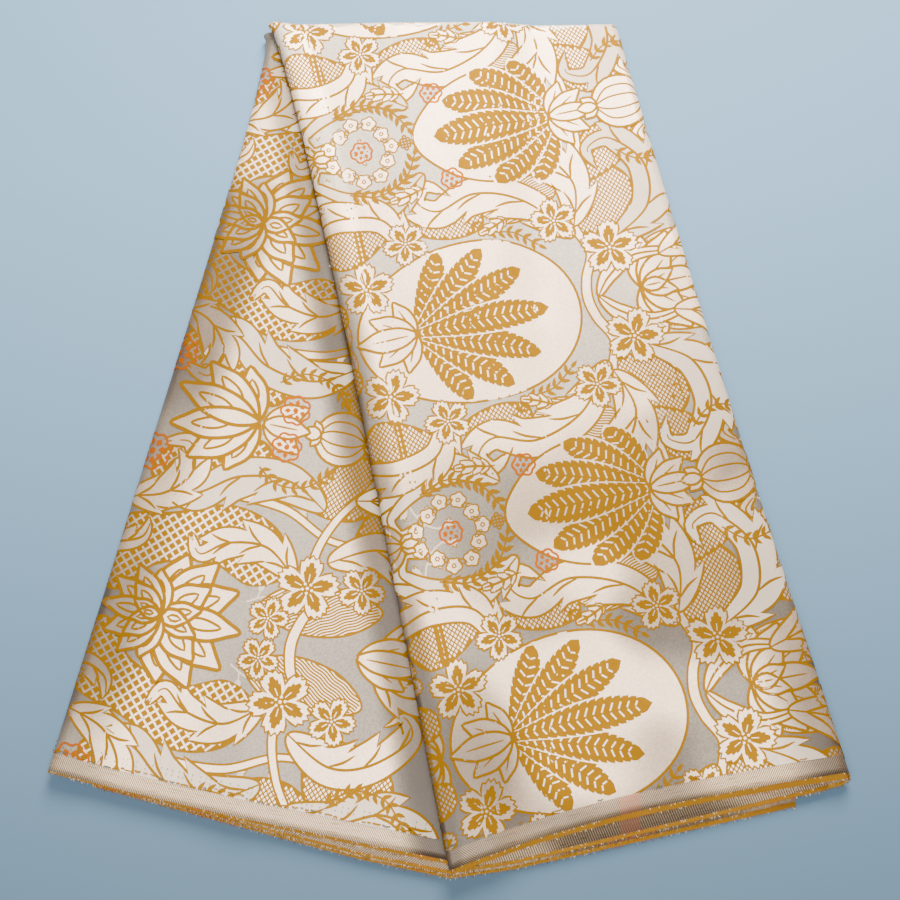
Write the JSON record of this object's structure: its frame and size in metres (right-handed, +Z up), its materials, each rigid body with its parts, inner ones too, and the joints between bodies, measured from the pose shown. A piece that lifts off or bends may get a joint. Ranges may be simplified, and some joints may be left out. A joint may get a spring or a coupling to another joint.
{
  "type": "folded brocade fabric",
  "caption": "Cut length of woven brocade cloth, doubled lengthways and folded back and forth in a fan with a knife pleat, lying flat.",
  "frame": {"origin": "middle of the base, on the surface that the folded cloth lies on", "axes": "+Z up, +Y from the selvedges towards the top crease, +X towards the right side crease"},
  "size_m": [0.5544, 0.6391, 0.0225],
  "materials": {
    "brocade": "cream satin and pale grey twill figured in gold, mustard wrong side"
  },
  "bodies": {
    "root": {"brocade_length": "brocade"}
  },
  "joints": []
}
